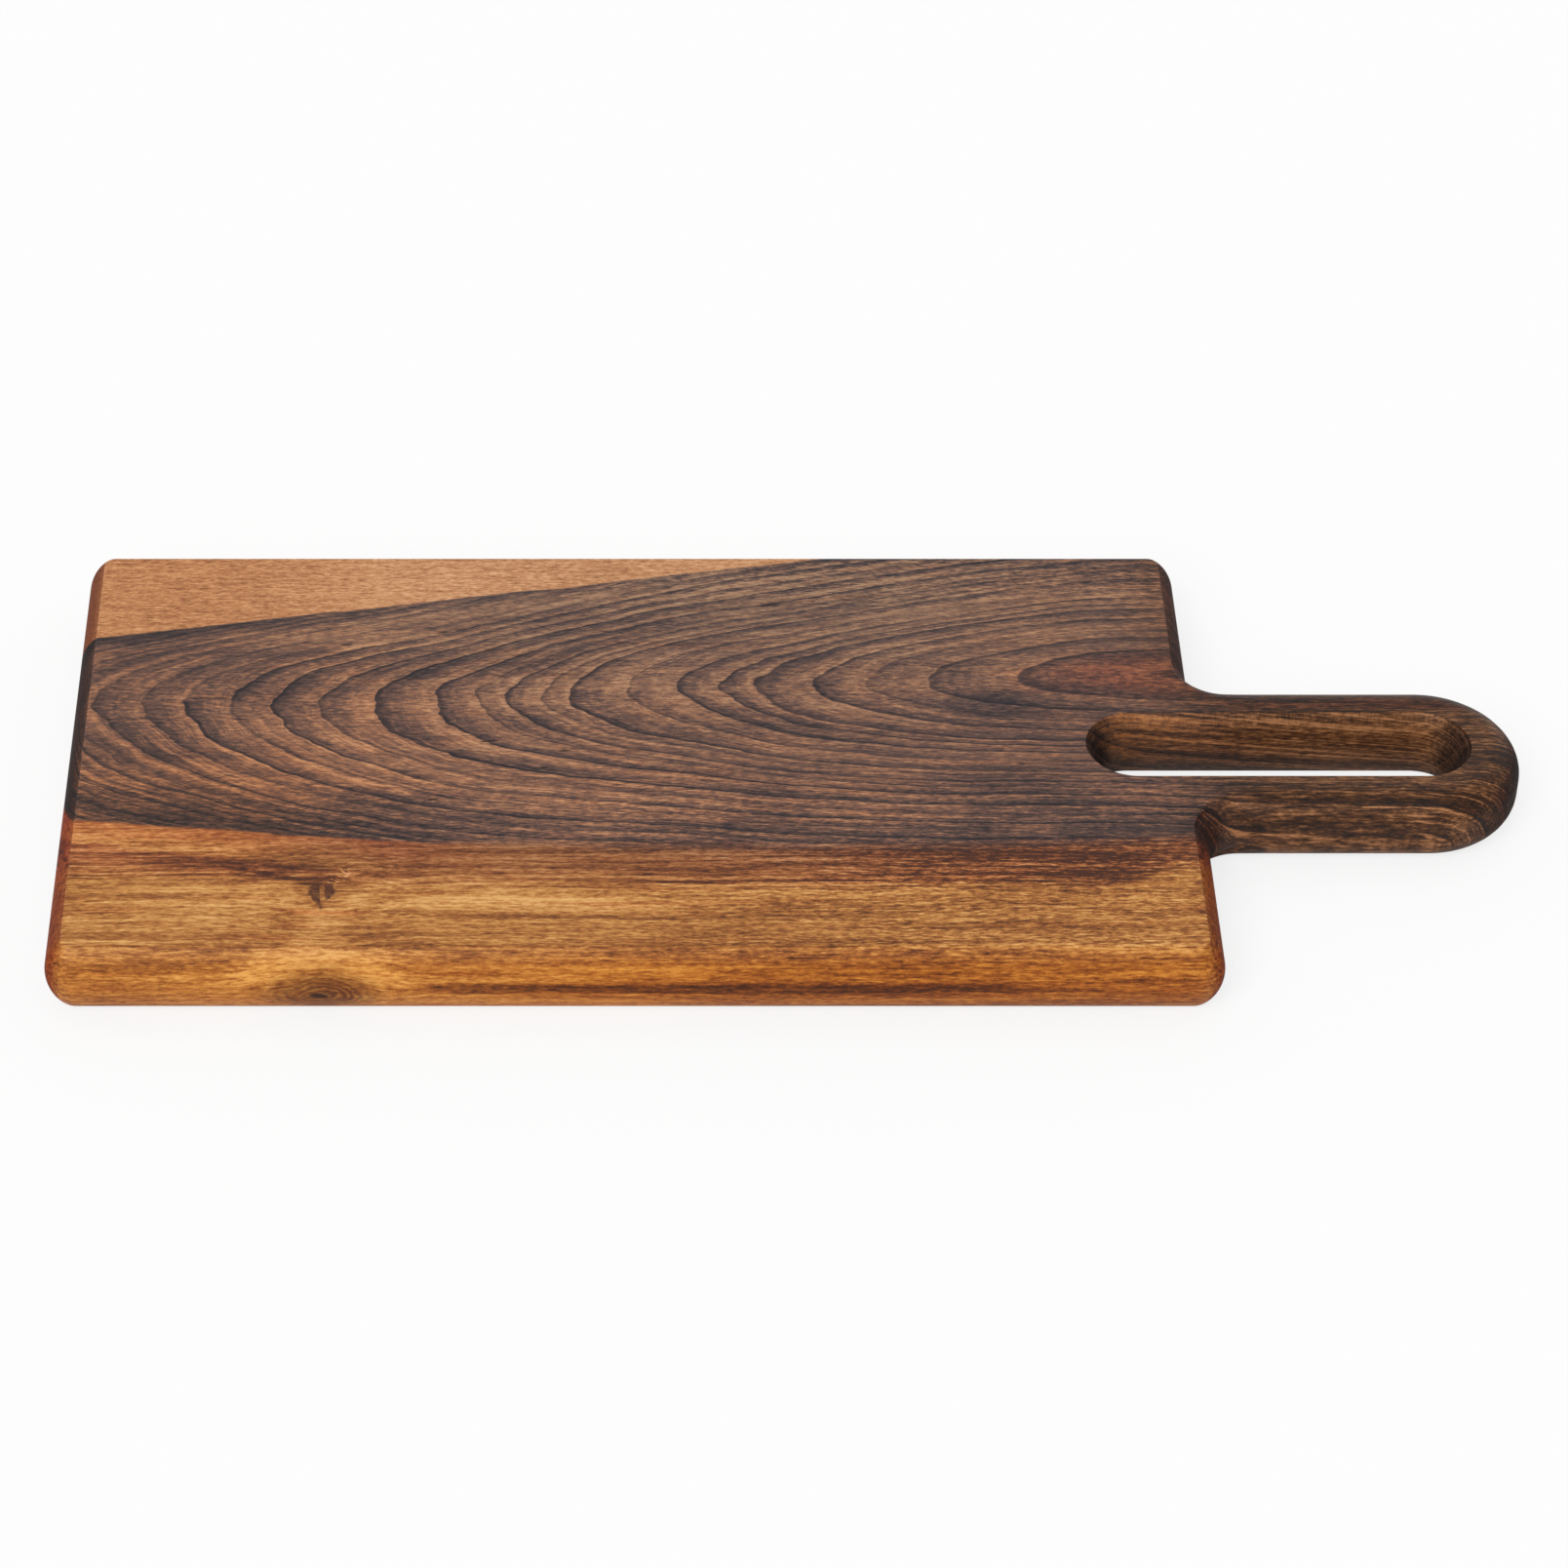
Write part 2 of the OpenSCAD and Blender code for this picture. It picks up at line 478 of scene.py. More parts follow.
# %% [markdown]
# Growth rings. The plank was sawn beside the middle of the log, and the log tapers, so the
# saw cut each ring in an arch that points away from the handle. The middle of the log runs
# above the top face, comes down towards the handle and swings a little towards +Y. Rings are
# close to circles round it on the near side and pulled out to a point on the far side.
# The plain numbers in a rise or a fall are places on the board, in millimetres.

# %% Distance from the middle of the log
TAPER, APEX_X = 0.25, 100.0
APEX_EASE, POINT_EASE = 36.0, 20.0
sway = noise(34.0, 13.0, 3.0, 0.55)
shiver = noise(12.0, 3.0, 2.0, 0.55, offset=7.0)
centre_y = x.rise(-105.0, -15.0, 17.6, 25.0)
centre_y = centre_y + x.most(0.0).least(80.0) * 0.055 - (x - 80.0).most(0.0) * 0.02
# How far the log's middle lies above a point: (reach + sqrt(reach^2 + ease)) / 2 + depth, where
# the root keeps it above zero past the apex
reach = (APEX_X - x) * TAPER
above = (reach + (reach * reach + APEX_EASE).root()) * 0.5 + depth
beside = y - centre_y
far_side = beside.rise(-0.8, 0.8)
aside = beside.size()
pointed = (aside * aside + POINT_EASE).root() - 4.47
# The distance is the same all along a ring: sqrt(above^2 + above pull + s aside^2), and a little
# wander. The pull draws the rings to a point, and s is 0.92 on the near side, 0.85 on the far side
pull = pointed * (far_side * aside.rise(6.0, 40.0, 0.22, 0.72) + 0.08)
wander = sway * 0.75 + shiver * 0.13
ring_r = (above * above + above * pull + aside * aside * (0.92 - far_side * 0.07)).root() + wander
print("rings: taper", TAPER, "apex at", APEX_X)

# %% [markdown]
# Where the rings lie. A Wave texture would space them evenly, but good years are wide and poor
# years narrow. So each ring is named by the place along the board where its arch has its tip, and
# by how dark its late wood is on the near side of the tip and on the far side. A ramp turns the
# distance from the middle into a ring number, and its fraction runs from 0, the pale early wood,
# to 1, the dark line that ends a year.

# %% Ring table
RINGS = [(-252, 0.3, 0.3), (-245, 0.7, 0.7), (-237, 0.25, 0.3), (-232, 0.9, 0.7), (-224, 0.3, 0.4),
         (-217, 0.8, 0.7), (-211, 0.3, 0.3), (-204, 0.95, 0.5), (-198, 0.5, 0.6), (-187, 0.65, 0.4),
         (-174, 0.5, 0.35), (-163, 0.95, 0.2), (-150, 0.35, 0.85), (-139, 0.8, 0.95), (-126, 0.4, 0.7),
         (-113, 1.0, 1.0), (-96, 0.95, 0.9), (-85, 0.6, 0.6), (-77, 0.9, 0.85), (-67, 0.45, 0.45),
         (-61, 0.85, 0.8), (-45, 0.4, 0.3), (-31, 0.9, 0.7), (-20, 0.8, 0.8), (-12, 0.75, 0.8),
         (4, 0.75, 0.7), (18, 0.35, 0.3), (35, 0.7, 0.55), (57, 0.6, 0.7), (88, 0.6, 0.5),
         (104, 0.5, 0.5), (116, 0.5, 0.5)]
RING_LOW, RING_HIGH, LAST_RING = RINGS[0][0], RINGS[-1][0], len(RINGS) - 1
tip_x = APEX_X - ring_r * (1 / TAPER)


def ramp(value, stops):
    """A colour ramp over value, with stops of a position from 0 to 1 and a colour."""
    made = start.node("ShaderNodeValToRGB", None, 0, Fac=value)
    elements = made.link.node.color_ramp.elements
    while len(elements) > 1:
        elements.remove(elements[-1])
    for count, (spot, shade) in enumerate(stops):
        stop = elements[0] if count == 0 else elements.new(spot)
        stop.position, stop.color = spot, shade
    return made


ring_span = RING_HIGH - RING_LOW
ring_stops = [((tip - RING_LOW) / ring_span, (1 - count / LAST_RING, near_dark, far_dark, 1.0))
              for count, (tip, near_dark, far_dark) in enumerate(RINGS)]
ring_table = ramp((tip_x - RING_LOW) * (1 / ring_span), ring_stops)
ring_share, near_strength, far_strength = ring_table.parts("ShaderNodeSeparateColor")
ring_strength = near_strength + (far_strength - near_strength) * far_side
year = (ring_share * LAST_RING).fraction()
print("rings in the table:", len(RINGS))

# %% [markdown]
# The dark line that ends a year isn't even. A noise fades it and brings it back along its length,
# and it thins out on the far side. Near the left end two arches don't meet at their tips, and a
# short straight ledge joins the two halves of each.

# %% Ring lines
LEDGE_Y = 19.0
LEDGES = [(-162.0, -150.6, 0.75), (-187.6, -177.0, 0.45)]
late_wood = year.rise(0.15, 1.0) * ring_strength
ring_line = year.rise(0.84, 0.95) * year.fall(0.98, 1.0) * ring_strength
waver = noise(38.0, 7.0, 2.0, 0.6, offset=41.0)
ring_line = ring_line * (1 - far_side * aside.rise(8.0, 36.0) * 0.4) * waver.rise(-1.0, 0.5, 0.25, 1.0)
ring_line = ring_line * (1 - upright * x.rise(68.0, 90.0) * 0.7)
for ledge_start, ledge_end, ledge_dark in LEDGES:
    ledge = x.rise(ledge_start - 1, ledge_start + 1) * x.fall(ledge_end - 1, ledge_end + 1)
    ledge = ledge * (y - LEDGE_Y + shiver * 0.2).size().fall(0.15, 0.6) * depth.fall(0.0, 3.0)
    ring_line = ring_line.most(ledge * ledge_dark)
print("ledges:", len(LEDGES))

# %% [markdown]
# Fibres and pores. Fine dark dashes along the grain are cut vessels, and broad soft streaks are
# changes of colour between them. All are noise, stretched along the grain at several sizes. Faint
# lines between the rings follow the arches. On the slot's wall the saw met the fibres side on, so
# there the lines run nearly level.

# %% Fibres
streak = noise(60.0, 1.5, 3.0, 0.6, offset=3.0, wide=around)
ragged = noise(22.0, 1.0, 3.0, 0.65, offset=11.0, wide=around)
fibre = noise(9.0, 0.75, 4.0, 0.8, offset=5.0, wide=around)
speck = noise(2.4, 0.85, 3.0, 0.85, offset=9.0)
grit = noise(2.8, 0.55, 1.0, 0.5, offset=19.0, wide=around)
pores = noise(5.0, 0.5, 1.0, 0.5, offset=13.0, wide=around).rise(0.4, 0.85)
flecks = noise(6.0, 0.6, 2.0, 0.6, offset=23.0, wide=around).rise(0.35, 1.1)
cloud = noise(70.0, 24.0, 2.0, 0.5, offset=17.0)
print("fibres set")

# %% Lines that follow the rings
HANDLE_BLEND = (86.0, 128.0)
SLOT_WALL, SLOT_END = (13.4, 14.4), (68.0, 76.0)
in_handle = x.rise(*HANDLE_BLEND)
in_slot = upright * y.size().fall(*SLOT_WALL) * x.rise(*SLOT_END)
wall_grain = noise_at(at(x * 0.006, (z + x * 0.09) * 1.2, 0.0), 2.0, 0.6)
minor = noise_at(at(x * 0.012, ring_r * 1.25, 0.0), 3.0, 0.7)
minor = minor + (wall_grain * 1.3 - minor) * in_slot
minor_line = minor.size().fall(0.0, 0.26)
ring_fibre = noise_at(at(x * 0.13, ring_r * 1.5, y * 0.07), 3.0, 0.75)
smudge = noise_at(at(x * 0.03, ring_r * 0.16, y * 0.06), 2.0, 0.5)
print("ring fibres set")

# %% [markdown]
# Heartwood and sapwood. The young outer wood of walnut is pale. On the near side its border
# follows a ring with a distance of its own, sharp at the left end and soft further right, and
# below it lies a reddish, streaky belt. On the far side the border cuts across the rings in
# nearly a straight line.

# %% Borders of the heartwood
# The near border's distance from the middle of the log, d mm from the right end of the body:
# r = 67.6 + 0.03 d + 0.000125 d^2
BORDER_END = 101.0
from_end = BORDER_END - x
border_r = from_end * from_end * 0.000125 + from_end * 0.03 + 67.6
border_beside = x * 0.0511 + 26.0 - y
border_square = above * above + above * border_beside * 0.08 + border_beside * border_beside * 0.92
inside_near = border_square.root() + wander - border_r + ragged * 0.5 + streak * 0.3
soft = x.rise(-110.0, -50.0)
near_sap = inside_near.rise(soft * -3.4 - 0.35, soft * 1.4 + 0.6) * (1 - far_side)
far_line = x * 0.177 + depth * 0.2 + 78.1
inside_far = y - far_line + ragged * 0.4 + sway * 0.6
far_sap = inside_far.rise(-0.25, 0.6)
print("borders set")

# %% The reddish belt
BELT_LEAN = 1.35
belt_low = x.rise(76.0, 104.0, -56.0, -47.5) + x.rise(-187.0, -110.0, 5.0, 0.0)
belt = (around_y - belt_low - depth * BELT_LEAN + ragged * 2.8 + streak * 2.0).rise(-4.5, 3.5)
wedge_low = (x + 187.0) * -0.15 - 40.5
wedge = (y - wedge_low - depth * BELT_LEAN + ragged * 1.4).rise(-1.8, 1.8) * x.fall(-122.0, -98.0)
belt = belt * (1 - wedge) * (x.rise(-125.0, -95.0, 1.15, 0.62) + x.rise(-60.0, 30.0, 0.0, 0.38))
print("belt set")

# %% [markdown]
# Soft spots. No two places of a plank are equally dark. Noise would put the broad spots anywhere,
# so they are listed below. Each is long and soft and fades with depth, because a real one is
# a change within a few rings.

# %% Soft spots


def shades(places):
    """Soft long spots, as places of (x, y, half length, half width, darkness), strongest on the top.

    Each falls from its darkness to 0, where (dx / length)^2 + (dy / width)^2 reaches about 1.1.
    """
    total = None
    for spot_x, spot_y, half_long, half_wide, darkness in places:
        along = (x - spot_x) * (1 / half_long)
        beyond = (around_y - spot_y + ragged * 0.6) * (1 / half_wide)
        spot = (along * along + beyond * beyond + streak * 0.3).rise(0.0, 1.1, darkness, 0.0)
        total = spot if total is None else total + spot
    return total * depth.fall(3.0, 14.0)


HEART_SPOTS = [
    (54.0, 17.0, 15.0, 8.0, 0.2), (-128.0, 37.0, 16.0, 3.5, 0.13), (-100.0, 37.5, 16.0, 3.0, 0.11),
    (-134.0, 49.0, 18.0, 5.0, 0.12), (-178.0, 42.0, 16.0, 8.0, 0.07), (-150.0, -30.0, 40.0, 6.0, 0.08),
    (-166.0, 22.0, 46.0, 34.0, 0.20), (-35.0, 74.0, 64.0, 16.0, -0.18), (20.0, -32.0, 110.0, 10.0, 0.05),
]
SAP_SPOTS = [
    (-134.0, -47.0, 20.0, 5.5, 0.2), (-80.0, -63.5, 42.0, 4.0, -0.17), (-150.0, -63.0, 22.0, 3.2, -0.12),
    (-45.0, -68.5, 70.0, 1.3, 0.16), (-112.0, -75.0, 22.0, 4.0, 0.15), (5.0, -65.0, 34.0, 6.0, 0.14),
    (84.0, -53.0, 13.0, 3.0, 0.14), (-25.0, -79.5, 130.0, 1.8, 0.10), (-180.0, -45.0, 18.0, 7.0, -0.24),
    (10.0, -74.0, 70.0, 3.2, 0.05), (-131.0, -69.5, 8.0, 5.0, 0.14), (-88.0, -54.5, 40.0, 5.0, -0.10),
    (6.0, -44.5, 42.0, 5.5, -0.17), (-32.0, -55.0, 26.0, 4.5, -0.09),
]
heart_shades, near_shades = shades(HEART_SPOTS), shades(SAP_SPOTS)
print("soft spots:", len(HEART_SPOTS), "in the heartwood and", len(SAP_SPOTS), "in the near sapwood")

# %% [markdown]
# Heartwood. One number, the tone, says how dark the wood is at each place: the late wood of the
# rings, the fibres, the spots and the slow changes over the board are added up, with a painted
# sheen that makes the far side lighter and painted light and shade on the slot's wall. The wood
# is darkest just inside its borders, and the arches are clearest away from the middle of the log.

# %% Tone of the heartwood
edge_dark = inside_near.rise(-15.0, -1.0) * (0.26 - soft * 0.13)
edge_dark = edge_dark + inside_far.rise(-7.0, -0.5) * 0.28 * (1 - near_sap)
lively = in_handle * 1.1 + 1.0
flank = aside.rise(3.0, 16.0, 0.35, 1.0).most(in_handle)
crisp = x.rise(-100.0, 0.0) * y.rise(50.0, 75.0) * 0.5
crisp = crisp + y.fall(-30.0, -8.0) * (1 - in_handle) * 0.35 + 1
grain = minor * flank * 0.14 + (fibre * 0.13 + ring_fibre * flank * 0.17) * (1 - in_slot * 0.75)
grain = (grain * lively + speck * (0.33 - flank * 0.09) + grit * (0.25 - flank * 0.08)) * crisp
near_flank = upright * in_handle * y.fall(-24.5, -22.0)
# Painted sheen: the far side, most of all towards the right, is made lighter in the tone below.
far_right_sheen = x.rise(-20.0, 40.0) * y.rise(20.0, 70.0)
# Painted light and shade on the slot's wall: it is lighter up the wall and lightest in the band under the
# rim, which faces up to the light, and stays dark low down, where shade falls in the slot. The hatch gives
# that band its speckled pores.
hatch = noise_at(at(x * 1.4, z * 0.25, y * 0.25), 2.0, 0.6)
slot_painted_light = z.rise(2.0, 12.0) * 0.10 + z.rise(15.0, 19.0) * (hatch * 0.12 + 0.10)
tone = (late_wood * (0.40 - in_handle * 0.2) + grain
        + minor_line * flank * 0.18 + streak * 0.10 + waver * 0.08 + smudge * 0.12
        + cloud * 0.08 + edge_dark + pores * 0.22 - flecks * 0.2 + x.rise(-40.0, 110.0) * 0.18 + 0.225
        + heart_shades - far_right_sheen * 0.10 - y.rise(15.0, 65.0) * 0.06 + in_handle * 0.05
        - near_flank * 0.13 + x.rise(168.0, 188.0) * 0.05 - in_slot * (1 - end_on) * slot_painted_light)
print("tone of the heartwood set")

# %% [markdown]
# Colours. Each is what the photograph shows, written as a display colour. A ramp turns the tone
# into pinkish tan, brown and nearly black. The handle has a ramp of its own, darker and warmer.
# Thin tints then lean parts of it to cool or warm. The tints that follow the fibres are the oiled
# heartwood's own, from one fibre to the next, the left near part is warmer and the middle a little
# bluer. The cool tint that grows towards the far side is a painted cool sheen, with a slow change
# of tone in it. The lines of the rings go on top.

# %% Colour of the heartwood


def tinted(value, share, tint):
    """The value's colour times (1 - share + share tint), so a share of 1 multiplies by the tint."""
    return start.node("ShaderNodeMix", {"data_type": "RGBA", "blend_type": "MULTIPLY"}, 2,
                      _0=share, _6=value, _7=tint)


INK = colour(28, 22, 28)
heart = ramp(tone, [(0.0, colour(212, 150, 104)), (0.25, colour(166, 112, 79)), (0.5, colour(113, 79, 65)),
                    (0.75, colour(73, 55, 51)), (1.0, colour(42, 34, 37))])
handle_wood = ramp(tone, [(0.1, colour(168, 116, 76)), (0.3, colour(142, 95, 60)),
                          (0.46, colour(104, 66, 38)), (0.65, colour(68, 40, 22)),
                          (0.85, colour(42, 25, 16)), (1.0, colour(28, 18, 14))])
in_body = 1 - in_handle
# Painted cool sheen that grows towards the far side, with a slow cloud of tone mixed in.
cool_sheen_and_tone = (y.rise(5.0, 65.0) * 0.75 + cloud.rise(-0.4, 0.9) * 0.25) * x.rise(-185.0, -135.0, 0.2, 1.0)
violet = x.rise(-140.0, -60.0) * x.rise(30.0, 80.0, 1.0, 0.2) * y.rise(-22.0, 8.0, 0.3, 1.0)
golden = x.fall(-150.0, -90.0) * y.fall(-30.0, 10.0)
warmth = ragged * 0.45 + fibre * 0.3 + grit * 0.25 + cloud * 0.2
heart_tints = [(cool_sheen_and_tone * in_body, colour(224, 240, 255)), (violet, colour(234, 243, 255)),
               (golden, colour(255, 240, 218)), (warmth.rise(-0.1, 0.8) * in_body, colour(255, 228, 206)),
               (warmth.fall(-0.8, 0.1) * in_body, colour(232, 244, 255))]
for share, tint in heart_tints:
    heart = tinted(heart, share, tint)
heart = (ring_line * 0.9).mixed(heart, INK)
red_tip = tip_x.rise(48.0, 78.0) * (1 - x.rise(110.0, 150.0))
heart = tinted(heart, red_tip * 0.8, colour(236, 190, 184))
heart = in_handle.mixed(heart, handle_wood)
heart = tinted(heart, in_handle * y.rise(13.4, 15.0), colour(186, 164, 162))
print("heartwood set, with", len(heart_tints), "tints")

# %% [markdown]
# Far sapwood. It is plain, light and even, with short fine fibres, so one tone, a ramp of three
# colours and one tint are enough.

# %% Far sapwood
far_tone = speck * 0.6 + fibre * 0.4 + grit * 0.15 + streak * 0.08 + cloud * 0.14 - flecks * 0.2 + 0.48
far_wood = ramp(far_tone, [(0.0, colour(230, 178, 132)), (0.5, colour(194, 136, 92)),
                           (1.0, colour(138, 86, 54))])
far_wood = tinted(far_wood, x.fall(-180.0, -60.0), colour(252, 242, 226))
print("far sapwood set")

# %% [markdown]
# Round the knot. Fibres that lift round a branch catch the light as a barbed glint beside the
# eye, the wood over the swirl bows out in a pale arch, and a bent dark line leads to the eye from
# the left. All of these are read off the photograph and drawn in the knot's own directions.

# %% Marks round the knot
GLINT_COS, GLINT_SIN = 0.58, 0.81
pale_trace = knot_dx.fall(3.0, 9.0) * knot_w.fall(-3.5, -1.5) * knot_along.rise(24.0, 14.0)
pale_arch = (knot_r + ragged * 0.5).rise(5.6, 7.0) * (knot_r + ragged * 0.7).fall(9.0, 13.0)
pale_arch = pale_arch * knot_along.rise(17.0, 20.0) * knot_w.fall(-5.0, -2.0)
knot_dy = knot_w * (1 / knot_sin)
glint_along = (x - KNOT_X) * GLINT_COS + knot_dy * GLINT_SIN
glint_across = (x - KNOT_X) * GLINT_SIN - knot_dy * GLINT_COS
glint = (glint_across + ragged * 0.6).size().fall(0.6, 2.6) * glint_along.rise(2.5, 4.5)
glint = glint * glint_along.fall(9.0, 14.0) * knot_along.fall(4.0, 8.0)
barbs = noise_at(at(glint_across * 0.5, glint_along * 1.6, 0.0), 2.0, 0.6)
eye_shade = (knot_dx * knot_dx + knot_dy * knot_dy * 0.8).root().fall(3.0, 9.0)
eye_shade = eye_shade * knot_along.fall(5.0, 9.0)
bend_y = x.rise(-152.0, -116.0, -49.0, -58.0)
bend = (y - bend_y + ragged * 0.8).size().fall(0.3, 1.8)
bend = bend * x.rise(-168.0, -132.0) * x.fall(-123.5, -121.0)
print("knot's surroundings set")

# %% [markdown]
# Near sapwood. It has a tone as the heartwood does. Its fibres are crisper to the right, painted
# shade darkens the crease along the left part of the near edge, and a dark streak runs along the
# middle of its bulge.

# %% Tone of the near sapwood
# Painted shade in the crease along the left part of the near edge, made uneven by noise.
crease_painted_shade = (y + 80.3 + sway * 0.5).size().fall(0.3, 1.7)
crease_painted_shade = crease_painted_shade * x.rise(-170.0, -150.0) * x.fall(-104.0, -84.0)
edge_streak = (z - 10.2 + ragged * 0.5 + sway * 0.8).size().fall(0.5, 2.6) * y.fall(-83.6, -82.0)
edge_streak = edge_streak * x.rise(-104.0, -80.0) * x.fall(30.0, 85.0)
long_streak = noise(110.0, 2.2, 3.0, 0.55, offset=51.0, wide=around)
sap_crisp = (x.rise(-70.0, 40.0) * 0.45 + belt * x.rise(-20.0, 40.0) * 0.5) * (1 - upright * 0.8) + 1
near_tone = (streak * 0.2 + long_streak * 0.14 + (fibre * 0.26 + speck * 0.28 + grit * 0.18) * sap_crisp
             + cloud * 0.14 + ragged * 0.16 + pores * 0.22 - flecks * 0.24 + belt * (streak * 0.3 + 0.3)
             - glint * (barbs * 0.8 + 0.06) + near_shades - pale_trace * 0.16 - pale_arch * 0.28
             + eye_shade * 0.2 + depth.fall(0.0, 1.5) * bend * (ragged * 0.2 + 0.2)
             + crease_painted_shade * (ragged * 0.15 + 0.14) + x.rise(-60.0, 100.0) * 0.13 + 0.385
             + edge_streak * 0.42)
print("tone of the near sapwood set")

# %% Colour of the near sapwood
near_wood = ramp(near_tone, [(0.0, colour(232, 178, 108)), (0.3, colour(200, 137, 70)),
                             (0.55, colour(158, 96, 42)), (0.8, colour(112, 63, 28)),
                             (1.0, colour(74, 41, 20))])
plum = (fibre * 0.4 + speck * 0.3 + ragged * 0.4).rise(0.0, 0.9)
mauve = inside_near.fall(0.0, 15.0) * x.rise(-150.0, -118.0) * x.rise(-10.0, 50.0, 1.0, 0.5)
reddish = noise(80.0, 3.4, 3.0, 0.6, offset=61.0, wide=around).rise(0.1, 1.0)
blush = x.fall(-110.0, -70.0) * inside_near.fall(0.0, 9.0)
olive = upright * x.rise(-110.0, -40.0)
near_tints = [(belt * 0.8, colour(243, 221, 244)), (plum * 0.9, colour(240, 220, 230)),
              (mauve, colour(226, 230, 255)), (reddish * 0.8, colour(240, 206, 190)),
              (blush * 0.9, colour(255, 226, 232)), (olive, colour(243, 228, 192))]
for share, tint in near_tints:
    near_wood = tinted(near_wood, share, tint)
print("near sapwood set, with", len(near_tints), "tints")

# %% [markdown]
# The knot itself. Low on the long edge the branch shows as dark rings round a small core, and the
# fraction of the distance from its axis gives them. On the top only its thin end is left: a dark
# eye that narrows towards the edge, split by a pale sliver.

# %% Swirl and eye
swirl = (knot_r * 0.95 + knot_rough * 0.25).fraction()
swirl = swirl.rise(0.0, 0.5) * swirl.fall(0.5, 1.0)
halo = knot_r.fall(3.2, 9.0) * knot_along.rise(13.0, 21.0)
halo_share = halo * (swirl * 0.5 + 0.5) * x.rise(-132.0, -118.0, 0.8, 1.0)
near_wood = halo_share.mixed(near_wood, colour(92, 49, 27))
eye_wide = knot_dy.rise(-8.0, 0.0, 0.2, 3.5)
eye = (eye_wide - knot_dx + knot_rough * 0.9).rise(0.0, 1.0) * (knot_dy + knot_rough).fall(2.5, 4.5)
eye = eye * knot_dy.rise(-8.0, -6.0) * knot_along.fall(5.0, 8.0)
sliver = (x - KNOT_X - 0.2 + knot_dy * 0.08).size().fall(0.3, 0.9) * knot_dy.rise(-6.0, -4.5)
eye_share = eye * (1 - sliver * 0.8) * (barbs * 0.3 + knot_rough * 0.25 + 0.88)
near_wood = eye_share.mixed(near_wood, colour(78, 39, 25))
knot_core = (knot_r - 1.1).fall(-0.6, 0.4) * knot_along.rise(8.0, 12.0)
near_wood = (knot_core * 0.95).mixed(near_wood, colour(44, 24, 18))
print("knot set")

# %% [markdown]
# Small marks: short dark checks where the blade lifted a fibre. They are finer than the mesh's
# faces, so the finish draws them and its relief sinks them. Each has a place and a length.

# %% Checks in the surface
MARKS = [(-120.0, 42.0, 2.2), (-93.5, 47.5, 1.8), (-81.0, 1.0, 3.2), (-60.5, -3.0, 2.4),
         (-66.0, -10.0, 1.3), (-95.0, -23.0, 1.6), (-4.0, 59.5, 4.5)]
MARK_WIDE, MARK_SLANT = 0.55, 0.12
marks = None
for mark_x, mark_y, mark_long in MARKS:
    along = (x - mark_x) * (1 / mark_long)
    beyond = (y - mark_y - (x - mark_x) * MARK_SLANT) * (1 / MARK_WIDE)
    spot = (along * along + beyond * beyond + shiver * 0.5).fall(0.2, 1.0)
    marks = spot if marks is None else marks.most(spot)
marks = marks * depth.fall(0.3, 1.2)
print("marks:", len(MARKS))

# %% [markdown]
# Finish. The three woods are laid over each other by their borders, and the checks go on top.
# Cut ends of fibres drink the oil, so each wood has a darker end. The oil leaves a low gloss,
# duller on the end grain and in the pores, and the pores and fibres stand as a fine relief.

# %% Finish
wood = near_sap.mixed(heart, near_wood)
wood = far_sap.mixed(wood, far_wood)
wood = (marks * 0.85).mixed(wood, colour(28, 20, 20))
# Painted light: the body's upright faces are tinted warmer than the top, since the top catches a faint
# greying sheen and the sides don't.
wood = tinted(wood, upright * in_body, colour(250, 236, 200))
end_tint = x.rise(-180.0, -100.0).mixed(colour(101, 84, 90), colour(158, 128, 126))
near_end = x.rise(40.0, 100.0).mixed(colour(180, 128, 107), colour(200, 158, 122))
end_tint = near_sap.mixed(end_tint, near_end)
end_tint = far_sap.mixed(end_tint, colour(154, 122, 110))
end_tint = in_slot.mixed(end_tint, colour(140, 140, 156))
wood = tinted(wood, end_on, end_tint)
relief = fibre * 0.3 + speck * 0.35 - pores * 0.7 - ring_line * 0.3 - marks * 1.5 - knot_core * 0.8
bump = start.node("ShaderNodeBump", None, 0, Height=relief, Strength=0.4, Distance=0.12 * MM)
finish = start.node("ShaderNodeBsdfPrincipled", None, 0, Base_Color=wood, Normal=bump,
                    Roughness=speck * 0.05 + pores * 0.1 + end_on * 0.35 + 0.45)
finish.link.node.inputs["Specular IOR Level"].default_value = 0.2
finish.node("ShaderNodeOutputMaterial", None, None, Surface=finish)
board_mesh.materials.append(walnut)
print("nodes in the finish:", len(walnut_tree.nodes))

# %% [markdown]
# The studio. A pale floor, a soft sky that is brighter behind the board, and one broad sun from
# the front left. The top face mirrors the bright back of the studio as a faint cool sheen. The
# floor glows a little to the camera, so that it reads as white paper and still keeps the shadow.

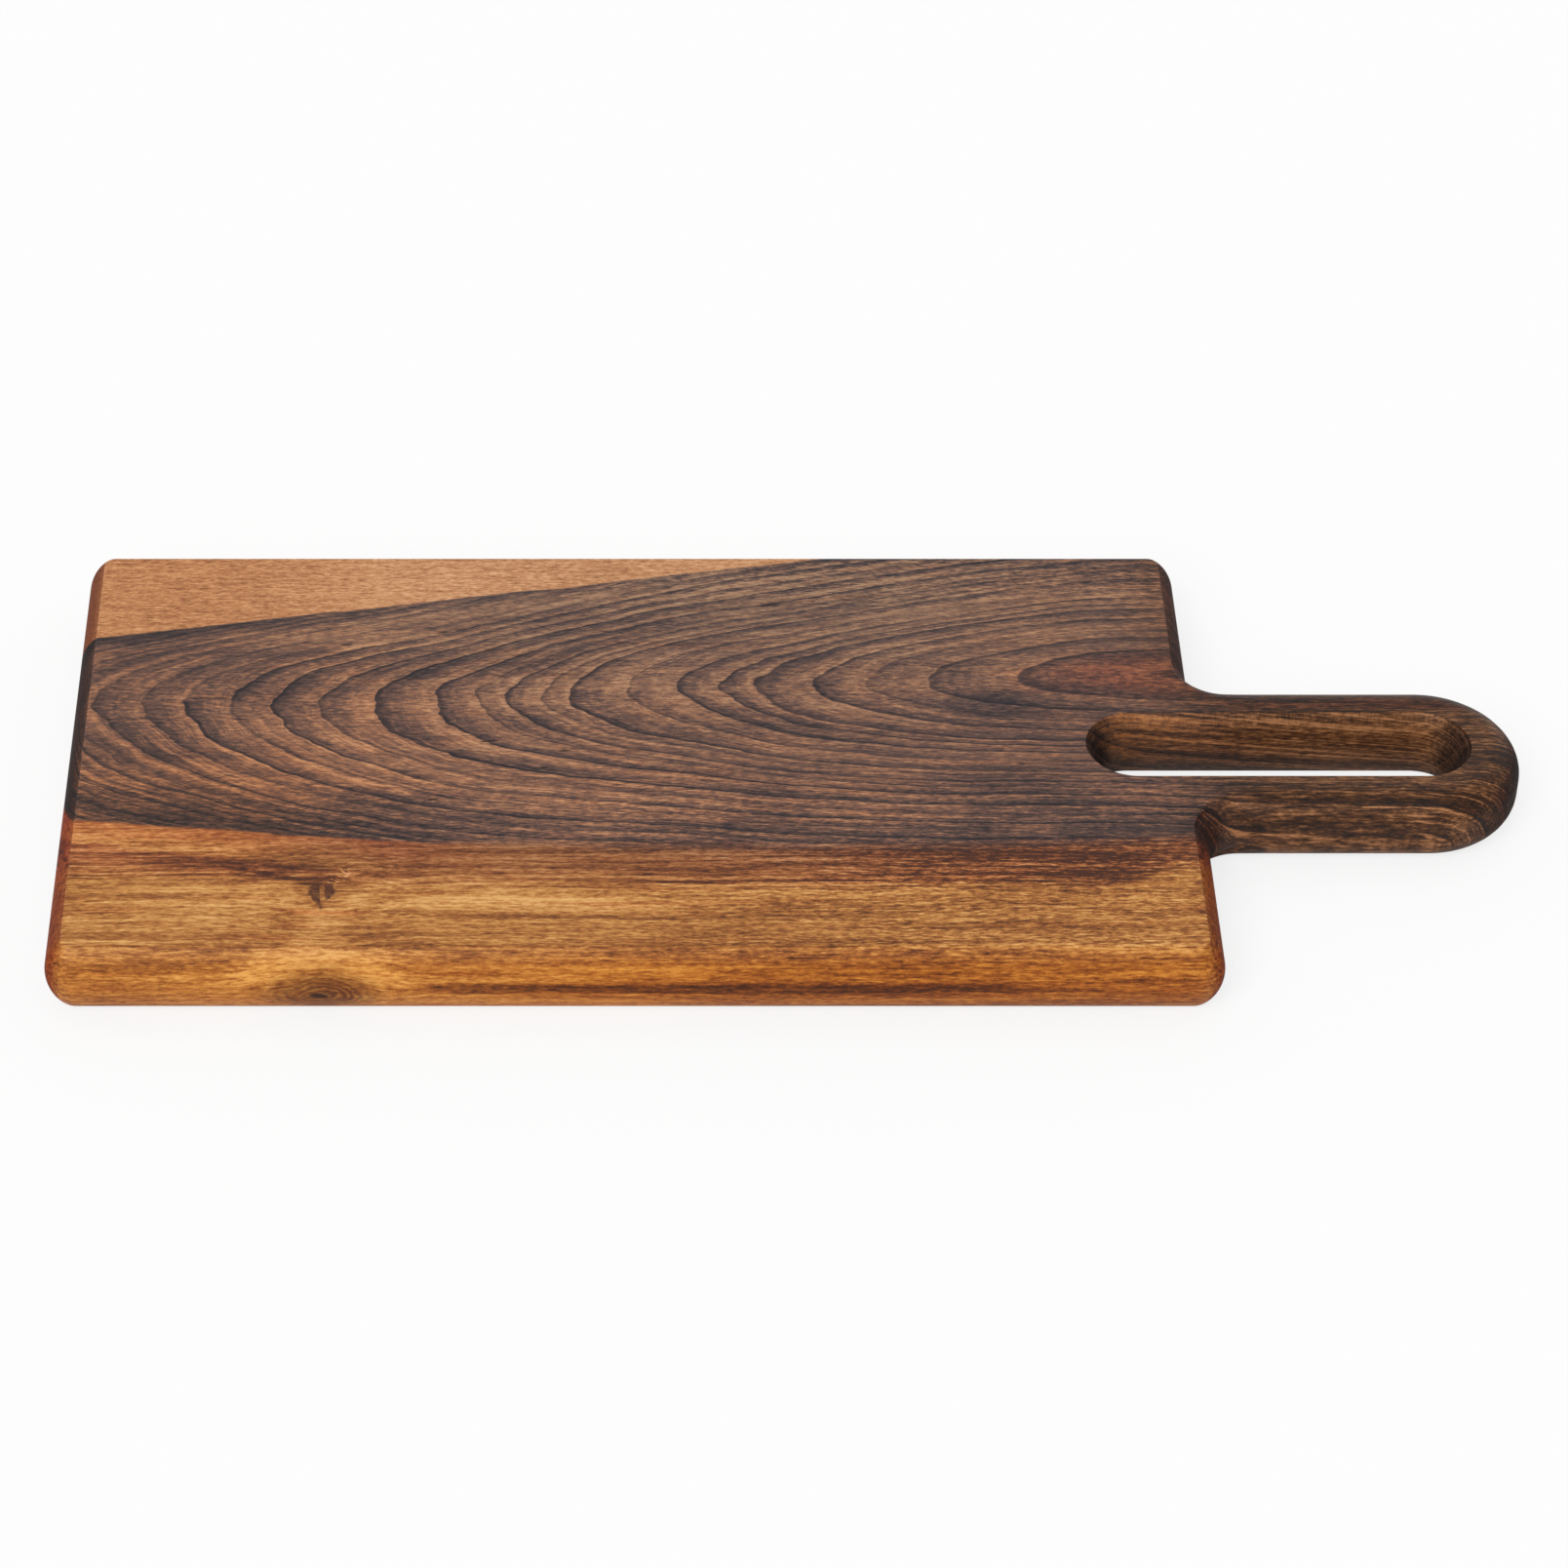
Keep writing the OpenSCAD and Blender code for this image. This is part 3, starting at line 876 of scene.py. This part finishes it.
# %% Floor
FLOOR_REACH, FLOOR_GLOW = 6.0, 0.785
floor_corners = [(side_x * FLOOR_REACH, side_y * FLOOR_REACH, 0.0)
                 for side_x, side_y in [(-1, -1), (1, -1), (1, 1), (-1, 1)]]
floor_mesh = bpy.data.meshes.new("floor")
floor_mesh.from_pydata(floor_corners, [], [(0, 1, 2, 3)])
floor = bpy.data.objects.new("floor", floor_mesh)
bpy.context.scene.collection.objects.link(floor)
paper = bpy.data.materials.new("floor_paper")
paper.use_nodes = True
paper.node_tree.nodes.clear()
sheet = Socket(paper.node_tree, None)
matt = sheet.node("ShaderNodeBsdfDiffuse", None, 0, Color=(0.97, 0.97, 0.97, 1.0))
glow = sheet.node("ShaderNodeEmission", None, 0, Color=(1.0, 1.0, 1.0, 1.0), Strength=1.0)
seen = sheet.node("ShaderNodeLightPath", None, "Is Camera Ray") * FLOOR_GLOW
both = sheet.node("ShaderNodeMixShader", None, 0, _0=seen, _1=matt, _2=glow)
both.node("ShaderNodeOutputMaterial", None, None, Surface=both)
floor_mesh.materials.append(paper)
print("floor ready")

# %% Light
world = bpy.data.worlds.new("studio")
bpy.context.scene.world = world
world.use_nodes = True
world.node_tree.nodes.clear()
sky = Socket(world.node_tree, None)
direction = sky.node("ShaderNodeTexCoord", None, "Generated")
behind = direction.parts("ShaderNodeSeparateXYZ")[1]
back = behind.rise(-0.2, 0.75, 0.42, 0.85)
light = sky.node("ShaderNodeBackground", None, 0, Color=(1.0, 1.0, 1.0, 1.0), Strength=back)
light.node("ShaderNodeOutputWorld", None, None, Surface=light)


def sun(name, strength, softness, azimuth, elevation):
    """A broad sun. Azimuth 0 shines from -Y, 90 from +X, and the softness is its width in degrees."""
    data = bpy.data.lights.new(name, "SUN")
    data.energy = strength
    data.angle = math.radians(softness)
    lamp = bpy.data.objects.new(name, data)
    lamp.rotation_euler = (math.radians(90 - elevation), 0.0, math.radians(azimuth))
    bpy.context.scene.collection.objects.link(lamp)


sun("front_left", strength=1.85, softness=40.0, azimuth=-28.0, elevation=43.0)
view = bpy.context.scene.view_settings
view.view_transform = "Standard"
print("lights ready")
